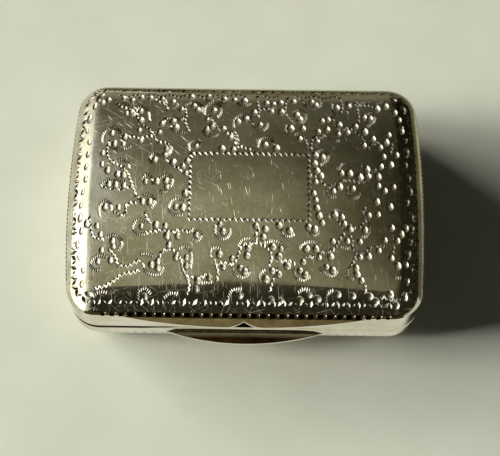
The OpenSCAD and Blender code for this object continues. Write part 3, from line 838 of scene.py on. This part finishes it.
# Grey on the steep sides of the cuts, partly tarnish and partly painted shade: dark beside their bright
# facets
grey_tarnish_and_shade = metal("sterling_silver_grey_tarnish_and_painted_shade", "#6c635a", "#453d36", (0.2, 0.36), 0.5, 0.1)
# Painted brown along the notched edge in front: a painted reflection on the strip and painted shade on the
# spots' dark sides
painted_brown_edge = metal("sterling_silver_painted_brown_edge", "#6b5a3a", "#3d2f1c", (0.2, 0.36), 1.2, 0.3)
# Top of the finger ledge: a painted reflection, dark brown for the dark under the lid lip, and paler against
# the wall
base_lip_painted_reflection = metal("sterling_silver_base_lip_painted_reflection", "#4f3620", "#2c1a0f", (0.14, 0.28), 1.2, 0.3,
                      (-HALF_D - 0.6, -HALF_D, "#c2bcab"))
# Nearly black: silver sulphide and painted shade in the border notches, and painted shade alone in the seam
black_tarnish_and_shade = metal("sterling_silver_blackened_and_painted_shade", "#3a3127", "#1d1813", (0.3, 0.5), 0.5, 0.1)
# Fire-gilt silver inside the box: a thin warm gold with a satin face
gilt = metal("fire_gilt_silver", "#e0b768", "#c79a4c", (0.24, 0.4), 2, 0.25)
# Drawn steel wire of the hinge pins: a cool and rather dull grey
steel = metal("drawn_steel_wire", "#a9a9ab", "#8b8a88", (0.22, 0.36), 0.6, 0.2)


def sponge_material():
    """Natural sponge: matt tan fibres, darker in the pores."""
    material, tree = new_material("natural_sponge")
    coords = add(tree, "TexCoord").outputs["Object"]
    fibre = add(tree, "TexNoise", {"Vector": coords, "Scale": 1 / (0.35 * MM), "Detail": 6,
                                   "Roughness": 0.7})
    colour = add(tree, "ValToRGB", {"Fac": fibre}, [(0.3, "#7d5c2f"), (0.5, "#b68f55"), (0.72, "#d8b980")])
    pores = add(tree, "TexVoronoi", {"Vector": coords, "Scale": 1 / (0.5 * MM)})
    height = add(tree, "Math", {0: pores, 1: fibre}, operation="ADD")
    bumped = add(tree, "Bump", {"Height": height, "Strength": 0.8, "Distance": 0.12 * MM})
    shader = add(tree, "BsdfPrincipled", {"Base Color": colour, "Roughness": 0.95,
                                          "Specular IOR Level": 0.2, "Normal": bumped})
    add(tree, "OutputMaterial", {"Surface": shader})
    return material


def table_material():
    """Matt painted board: off-white with a slight green-yellow cast and a faint mottle. In the metal alone it
    is a
    painted reflection: dim some way behind and to the right of the box, and glowing bright in front and at
    the left."""
    material, tree = new_material("matt_painted_board")
    coords = add(tree, "TexCoord").outputs["Object"]
    mottle = add(tree, "TexNoise", {"Vector": coords, "Scale": 1 / (9 * MM), "Detail": 3})
    tones = add(tree, "ValToRGB", {"Fac": mottle}, [(0.3, "#d4d7ca"), (0.7, "#dbded2")])
    seen = add(tree, "BsdfPrincipled", {"Base Color": tones, "Roughness": 0.8, "Specular IOR Level": 0.15})
    spot = add(tree, "SeparateXYZ", {"Vector": coords})
    path = add(tree, "LightPath")
    # Painted reflection: a dim board and a glowing one, seen by glossy rays only
    dim = add(tree, "BsdfDiffuse", {"Color": linear("#76745f")})
    bright = add(tree, "Emission", {"Color": linear("#efeee2"), "Strength": 1.05})
    for tone, share, bands in ((dim, 1, DIM_BANDS), (bright, BRIGHT_SHARE, BRIGHT_BANDS)):
        cover = 0
        for axis, start, end in bands:
            edge = add(tree, "MapRange", {"Value": spot.outputs[axis], "From Min": start * MM,
                                          "From Max": end * MM, "To Max": share})
            cover = add(tree, "Math", {0: cover, 1: edge}, operation="MAXIMUM")
        mirrored = add(tree, "Math", {0: cover, 1: path.outputs["Is Glossy Ray"]}, operation="MULTIPLY")
        seen = add(tree, "MixShader", {0: mirrored, 1: seen, 2: tone})
    add(tree, "OutputMaterial", {"Surface": seen})
    return material


natural_sponge = sponge_material()
finishes = {"silver": silver, "gilt": gilt, "steel": steel, "sponge": natural_sponge}


def dress(piece, body, slot, *nodes):
    """Makes a piece ride on a body and stand for its CAD nodes."""
    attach(piece, body)
    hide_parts(*nodes)
    return piece


def paint(piece, inside):
    """Silver on the outside, and gilt on the faces that a test finds inside."""
    piece.data.materials.append(silver)
    piece.data.materials.append(gilt)
    stain(piece, 1, lambda face: inside(face.center / MM, face.normal))


def wall_inside(centre, normal):
    """Tells the inner face of a band."""
    return edge_distance(centre.x, centre.y) > SHEET - HAIR


# Lid top
def shoulder_ring(tilt, thick):
    """Ring of the lid's shoulder at a tilt of its face, or of its inner face a sheet's thickness below."""
    inset = SHOULDER_W - (SHOULDER_R - thick) * math.sin(tilt)
    rise = SHOULDER_H - SHOULDER_R + (SHOULDER_R - thick) * math.cos(tilt)
    return [(x, y, EDGE_Z + rise + crown(x, y)) for x, y in outline(inset)]


def crown_ring(share, thick):
    """Ring of the lid's crown at a share of the way out, more and more oval towards the middle."""
    a, b = HALF_W - SHOULDER_W, HALF_D - SHOULDER_W
    ring = []
    for ex, ey in outline(SHOULDER_W):
        t = math.atan2(ey / b, ex / a)
        x = share * (a * math.cos(t) * (1 - share) + ex * share)
        y = share * (b * math.sin(t) * (1 - share) + ey * share)
        ring.append((x, y, EDGE_Z + SHOULDER_H + crown(x, y) - thick))
    return ring


def lid_skin(rings_of_shoulder, rings_of_crown, thick):
    """Rings of one face of the lid, from its edge to its middle."""
    rings = []
    for k in range(rings_of_shoulder + 1):
        rings.append(shoulder_ring(SHOULDER_TILT * (1 - k / rings_of_shoulder), thick))
    for k in range(1, rings_of_crown):
        rings.append(crown_ring(1 - k / rings_of_crown, thick))
    return rings


def make_lid_top():
    """Crowned lid of sheet silver, gilt inside, with all its cuts."""
    inner = [level(SHEET, EDGE_Z)] + lid_skin(INNER_RINGS, INNER_RINGS, SHEET)[2:]
    outer = lid_skin(SHOULDER_RINGS, CROWN_RINGS, 0)
    lid = loft("lid_top_engraved", inner[::-1] + outer, caps=True)
    paint(lid, lambda centre, normal: normal.z < 0 and centre.z > EDGE_Z + HAIR)
    # Painted reflection: a brown strip along the lid's front edge
    lid.data.materials.append(painted_brown_edge)
    front = (EDGE_STRIP - HALF_D) * MM
    stain(lid, 2, lambda face: face.material_index == 0 and face.center.y < front)
    cuts = lid_engraving()
    # The dark sides of the cuts are grey: partly tarnish and partly painted shade
    fresh = (cut_silver, grey_tarnish_and_shade)
    dulled = (punched_silver, grey_tarnish_and_shade)
    engrave(lid, graver, SCUFF_CUT, scuffs(), (silver, silver), WIDE_ROOM)
    for kind, (cut, *_) in STROKES.items():
        engrave(lid, graver, cut, cuts[kind], fresh)
    engrave(lid, punch, PELLET_CUT, cuts["pellet"], dulled)
    gouges = border(GOUGE_IN, GOUGE_PITCH, GOUGE_SLANT, GOUGE_PLAY)
    engrave(lid, graver, GOUGE_CUT, gouges, fresh, WIDE_ROOM)
    ovals = border(OVAL_IN, OVAL_PITCH, 0, OVAL_PLAY, ends_only=True, stray=OVAL_STRAY)
    engrave(lid, punch, OVAL_CUT, [spot for spot in ovals if spot.translation.x < 0], dulled)
    engrave(lid, punch, OVAL_CUT, [spot for spot in ovals if spot.translation.x >= 0], fresh)
    notch_edge(lid, EDGE_Z, NOTCH_CUT, WORN_CUT)
    # The dark sides of the spots are painted shade, in brown
    engrave(lid, graver, SPOT_CUT, notch_spots(), (cut_silver, painted_brown_edge))
    smooth(lid, angle=24)
    dress(lid, "lid", "silver", "lid_top")


# Bands
def band(name, low, high, low_edge, high_edge):
    """Upright band round the case with bevelled outer edges. An edge is a function of the place in plan that
    gives the depth and the height of its bevel."""
    rings = []
    rim, inner = outline(0), outline(1)
    for z, sign, edge, profile in ((low, 1, low_edge, BEVEL[::-1]), (high, -1, high_edge, BEVEL)):
        for across, up in profile:
            ring = []
            for (x0, y0), (x1, y1) in zip(rim, inner):
                depth, height = edge(x0, y0)
                x = x0 + (x1 - x0) * depth * across
                y = y0 + (y1 - y0) * depth * across
                ring.append((x, y, z + sign * height * up))
            rings.append(ring)
    rings.append(level(SHEET, high))
    rings.append(level(SHEET, low))
    return loft(name, rings, closed=True)


def crisp(x, y):
    """Bevel of an edge that meets another piece: next to none."""
    return CRISP, CRISP


def eased(x, y):
    """Bevel of an edge with its sharpness taken off."""
    return EASED, EASED


def worn_rim(x, y):
    """Bevel of the base's rim, widest at the front but for the end of the painted shade in the seam."""
    front = min(1, max(0, (WEAR_START - y) / WEAR_RUN))
    worn = front * min(1, SEAM_LEAST + abs(x - SEAM_END) / SEAM_RUN)
    return EASED + WEAR_DEPTH * worn, EASED + WEAR_HEIGHT * worn


def hinge_groove():
    """Cutter of the groove for the hinge barrel, a little longer than the barrel."""
    deselect()
    bpy.ops.mesh.primitive_cylinder_add(vertices=48, radius=GROOVE_R * MM,
                                        depth=(GROOVE_GAP - BARREL_LEFT) * 2 * MM, location=place(BARREL))
    cutter = named("groove")
    bpy.ops.transform.rotate(value=math.radians(90), orient_axis="Y", center_override=place(BARREL))
    bpy.ops.object.transform_apply()
    cutter.data.materials.append(silver)
    return cutter


def make_walls():
    """Bands of the lid and the base, notched along their edges, with painted shade in the seam between them.
    """
    lid_wall = band("lid_wall_notched", lid_wall_low.z, lid_wall_high.z, eased, crisp)
    base_wall = band("base_wall_notched", base_wall_low.z, base_wall_high.z, crisp, worn_rim)
    groove = hinge_groove()
    for wall, edge, cuts in ((lid_wall, EDGE_Z, (NOTCH_CUT, WORN_CUT)),
                             (base_wall, base_wall_low.z, (FOOT_CUT, FOOT_CUT))):
        paint(wall, wall_inside)
        wall.data.materials.append(black_tarnish_and_shade)
        # Painted shade: the faces that lean into the seam at the left of the front get the nearly black
        # material
        stain(wall, 2, lambda face: SEAM_LEAN[0] < face.normal.z < SEAM_LEAN[1] and face.normal.y < 0
              and face.center.x < SEAM_END * MM)
        carve(wall, groove)
        notch_edge(wall, edge, *cuts)
        smooth(wall, angle=20)
    bpy.data.objects.remove(groove)
    dress(lid_wall, "lid", "silver", "lid_wall")
    dress(base_wall, "base", "silver", "base_wall")


# Turned, sawn and soldered pieces: the CAD shapes with their edges rounded as a file and polish leave them
def polished_copy(node, body, edge, slot):
    """Copy of a CAD node with clean faces and rounded edges, which stands for it."""
    mesh = frame["nodes"][node].data.copy()
    piece = put(node + "_polished", mesh)
    mesh.materials.clear()
    mesh.materials.append(finishes[slot])
    pick(piece)
    bpy.ops.object.mode_set(mode="EDIT")
    bpy.ops.mesh.select_all(action="SELECT")
    bpy.ops.mesh.remove_doubles(threshold=0.001 * MM)
    bpy.ops.mesh.dissolve_limited(angle_limit=math.radians(1))
    bpy.ops.object.mode_set(mode="OBJECT")
    finish_modifier(piece, "BEVEL", width=edge * MM, segments=3, limit_method="ANGLE",
                    angle_limit=math.radians(40), harden_normals=False)
    smooth(piece, angle=25)
    return dress(piece, body, slot, node)


def make_fittings():
    """Knuckles and plugs, lips with a painted reflection on their tops, and the gilt collar, ledge and
    grille.
    """
    for node in ("base_knuckle_left", "base_knuckle_middle", "base_knuckle_right", "hinge_plug_left",
                 "hinge_plug_right"):
        polished_copy(node, "base", KNUCKLE_EDGE, "silver")
    for node in ("lid_knuckle_left", "lid_knuckle_right"):
        polished_copy(node, "lid", KNUCKLE_EDGE, "silver")
    # Painted reflection: the up-facing tops of the lips get their own colour
    for node, body, finish in (("base_lip", "base", base_lip_painted_reflection), ("lid_lip", "lid", lid_lip_painted_reflection)):
        lip = polished_copy(node, body, LIP_EDGE, "silver")
        lip.data.materials.append(finish)
        stain(lip, 1, lambda face: face.normal.z > TOP_FACING)
    for node in ("bezel", "grille_seat", "grille_ear_left", "grille_ear_right"):
        polished_copy(node, "base", COLLAR_EDGE, "gilt")
    for node in ("grille_plate", "grille_knuckle", "grille_tab"):
        polished_copy(node, "grille", GRILLE_EDGE, "gilt")


# Base
def make_base_plate():
    """Pan of the base with its round lower edge, gilt inside."""
    skins = []
    for r in (FLOOR_R - SHEET, FLOOR_R):
        turns = [math.radians(90) * k / FLOOR_STEPS for k in range(FLOOR_STEPS + 1)]
        skins.append([level(FLOOR_R - r * math.cos(a), FLOOR_R - r * math.sin(a)) for a in turns])
    inner, outer = skins
    base = loft("base_pan", inner[::-1] + outer, caps=True)
    paint(base, lambda centre, normal: normal.z > FLOOR_FACING and centre.z < FLOOR_R - HAIR)
    smooth(base, angle=32)
    dress(base, "base", "silver", "base_plate")


# Sponge
def make_sponge():
    """Block of natural sponge, cut a little smaller than its space, with lumps and open pores."""
    deselect()
    middle = (sponge_low + sponge_high) / 2
    bpy.ops.mesh.primitive_cube_add(size=1, location=place(middle))
    sponge = named("sponge_block")
    bpy.ops.transform.resize(value=place(sponge_high - sponge_low - SPONGE_PLAY))
    bpy.ops.object.transform_apply()
    finish_modifier(sponge, "BEVEL", width=SPONGE_EDGE * MM, segments=3)
    finish_modifier(sponge, "REMESH", mode="VOXEL", voxel_size=SPONGE_GRAIN * MM)
    inward = [-vertex.normal for vertex in sponge.data.vertices]
    for vertex, way in zip(sponge.data.vertices, inward):
        spot = vertex.co / MM
        depth = sum(deep * (0.5 + 0.5 * noise.noise(spot / pitch)) for pitch, deep in SPONGE_LUMPS)
        for pitch, size, deep in SPONGE_PORES:
            near = noise.voronoi(spot / pitch)[0][0] * pitch
            depth += deep * max(0, 1 - near / size) ** PORE_ROUND
        vertex.co += way * min(depth, SPONGE_DEEP) * MM
    sponge.data.materials.append(natural_sponge)
    smooth(sponge, angle=60)
    dress(sponge, "base", "sponge", "sponge")


make_lid_top()
make_walls()
make_base_plate()
make_fittings()
make_sponge()

for part in frame["record"]["subparts"]:
    node = frame["nodes"][part["node"]]
    node.data.materials.clear()
    node.data.materials.append(finishes[part["material_slot"]])


# Table, light and camera
def make_table():
    deselect()
    bpy.ops.mesh.primitive_plane_add(size=3)
    table = named("table")
    table.data.materials.append(table_material())


def make_window(name, azimuth, width, energy):
    """Soft window light from the left, low. The azimuth is how far it lies to the back of straight left."""
    lamp = bpy.data.lights.new(name, "AREA")
    lamp.shape = "RECTANGLE"
    lamp.size = width
    lamp.size_y = WINDOW_HIGH
    lamp.energy = energy
    lamp.color = linear("#fffdf2")[:3]
    light = put(name, lamp)
    turn = math.radians(azimuth)
    light.location = (-WINDOW_FAR * math.cos(turn), WINDOW_FAR * math.sin(turn), WINDOW_UP)
    light.rotation_euler = (Vector((0, 0, WINDOW_AIM)) - light.location).to_track_quat("-Z", "Y").to_euler()
    light.visible_glossy = False


def make_room():
    """Dim olive room as the metal sees it: bright towards the window, dim behind, with the dark shape of an
    onlooker in front. The table gets only a faint light from it. Stops run from 0 at the left to 1 at the
    right, or from 0 in front to 1 at the back."""
    world = bpy.data.worlds.new("room")
    world.use_nodes = True
    tree = world.node_tree
    tree.nodes.clear()
    facing = add(tree, "TexCoord").outputs["Generated"]
    parts = add(tree, "SeparateXYZ", {"Vector": facing})
    side = add(tree, "MapRange", {"Value": parts.outputs["X"], "From Min": -1, "From Max": 1})
    depth = add(tree, "MapRange", {"Value": parts.outputs["Y"], "From Min": -1, "From Max": 1})
    walls = add(tree, "ValToRGB", {"Fac": side},
                [(0.1, "#f6f4ea"), (0.304, "#e4e7e6"), (0.317, "#c6c4b5"), (0.35, "#b2af9a"),
                 (0.5, "#a8a48d"), (0.6, "#807c67"), (0.66, "#545140"), (0.72, "#2e2c21")])
    shade = add(tree, "ValToRGB", {"Fac": depth},
                [(0, 1), (0.66, 1), (0.78, 0.4), (0.89, 0.38), (0.97, 0.8)])
    breadth = add(tree, "ValToRGB", {"Fac": side}, [(0.28, 0), (0.34, 1), (0.59, 1), (0.65, 0)])
    front = add(tree, "ValToRGB", {"Fac": depth}, [(0.2, 1), (0.458, 0.87), (0.47, 0)])
    sitter = add(tree, "Math", {0: breadth, 1: front}, operation="MULTIPLY")
    clear = add(tree, "MapRange", {"Value": sitter, "To Min": 1, "To Max": 0.1})
    room = add(tree, "Math", {0: shade, 1: clear}, operation="MULTIPLY")
    seen = add(tree, "Mix", {"Factor": 1, "A": walls, "B": room}, data_type="RGBA", blend_type="MULTIPLY")
    panes = add(tree, "MapRange", {"Value": parts.outputs["X"], "From Min": -0.62, "From Max": -0.5,
                                   "To Min": 3.4, "To Max": 1})
    path = add(tree, "LightPath")
    shown = add(tree, "Background", {"Color": seen.outputs["Result"], "Strength": panes})
    fill = add(tree, "Background", {"Color": linear("#e8ead8"), "Strength": 0.038})
    mixed = add(tree, "MixShader", {0: path.outputs["Is Glossy Ray"], 1: fill, 2: shown})
    add(tree, "OutputWorld", {"Surface": mixed})
    bpy.context.scene.world = world


def make_camera():
    """Camera at the place that the photo was taken from."""
    lens = bpy.data.cameras.new("camera")
    lens.sensor_fit = "HORIZONTAL"
    lens.sensor_width = SENSOR_W
    lens.lens = SENSOR_W * FOCAL / PHOTO_W
    lens.clip_start = 0.01
    camera = put("camera", lens)
    roll = Matrix.Rotation(math.radians(CAMERA_ROLL), 4, "Z")
    tilt = Matrix.Rotation(math.radians(CAMERA_TILT), 4, "X")
    camera.matrix_world = Matrix.Translation(place(CAMERA_AT)) @ roll @ tilt
    bpy.context.scene.camera = camera


make_table()
make_window("window", -3, 0.64, 73)
make_window("far_window", 24, 1.2, 53)
make_room()
make_camera()
bpy.context.scene.view_settings.view_transform = "Standard"
